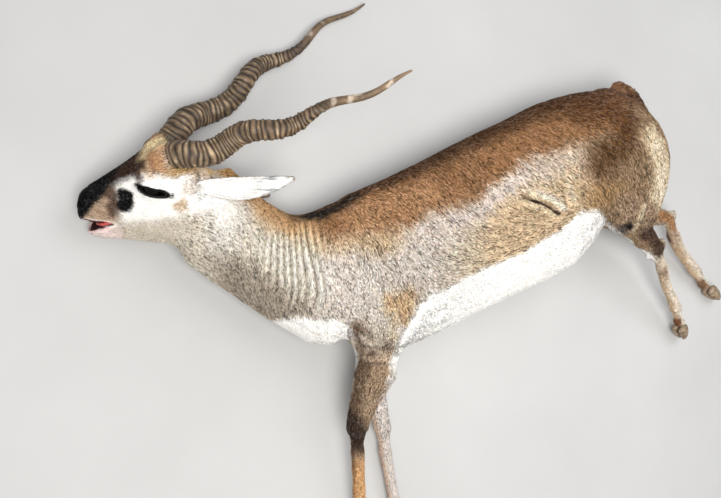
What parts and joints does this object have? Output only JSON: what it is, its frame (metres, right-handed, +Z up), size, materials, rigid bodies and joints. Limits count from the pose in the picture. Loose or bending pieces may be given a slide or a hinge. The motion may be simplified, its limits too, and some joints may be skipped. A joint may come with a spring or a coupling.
{
  "type": "blackbuck antelope lying on its side",
  "caption": "Life-size still model of an adult male blackbuck lying on its right side, with ringed spiral horns swept back and legs stretched out.",
  "frame": {"origin": "centre of the bounding box in X and Y, on the floor that the animal lies on", "axes": "+X from the nose to the rump, +Y towards the line of the back, +Z up through the left side, which lies uppermost"},
  "size_m": [1.2604, 1.0122, 0.2639],
  "materials": {
    "body_coat": "short matt fur, brown above and white under the belly",
    "neck_coat": "short matt fur, grey-cream",
    "face_coat": "short matt fur, white round the eye, black on the nose",
    "tail_coat": "matt fur, dark brown",
    "haunch_coat": "short matt fur, golden brown",
    "shoulder_coat": "short matt fur, grizzled brown",
    "forearm_coat": "short matt fur, brown with a dark front edge",
    "shank_coat": "short matt fur, cream",
    "white_coat": "short matt fur, white",
    "horn": "satin ringed horn, brown",
    "hoof": "satin horn, pale grey-brown",
    "eye": "wet gloss, near black",
    "tongue": "moist, dull red"
  },
  "bodies": {
    "root": {"torso": "body_coat", "neck": "neck_coat", "head": "face_coat", "tongue": "tongue", "eye_left": "eye", "horn_left": "horn", "ear_left": "white_coat", "eye_right": "eye", "horn_right": "horn", "ear_right": "white_coat", "foreleg_left_shoulder": "shoulder_coat", "foreleg_left_forearm": "forearm_coat", "foreleg_left_cannon": "shank_coat", "foreleg_left_pastern": "shank_coat", "foreleg_left_hoof_inner": "hoof", "foreleg_left_hoof_outer": "hoof", "hindleg_left_thigh": "haunch_coat", "hindleg_left_gaskin": "haunch_coat", "hindleg_left_cannon": "shank_coat", "hindleg_left_pastern": "shank_coat", "hindleg_left_hoof_inner": "hoof", "hindleg_left_hoof_outer": "hoof", "foreleg_right_shoulder": "shoulder_coat", "foreleg_right_forearm": "white_coat", "foreleg_right_cannon": "white_coat", "foreleg_right_pastern": "white_coat", "foreleg_right_hoof_inner": "hoof", "foreleg_right_hoof_outer": "hoof", "hindleg_right_thigh": "haunch_coat", "hindleg_right_gaskin": "haunch_coat", "hindleg_right_cannon": "shank_coat", "hindleg_right_pastern": "shank_coat", "hindleg_right_hoof_inner": "hoof", "hindleg_right_hoof_outer": "hoof", "tail": "tail_coat"}
  },
  "joints": []
}
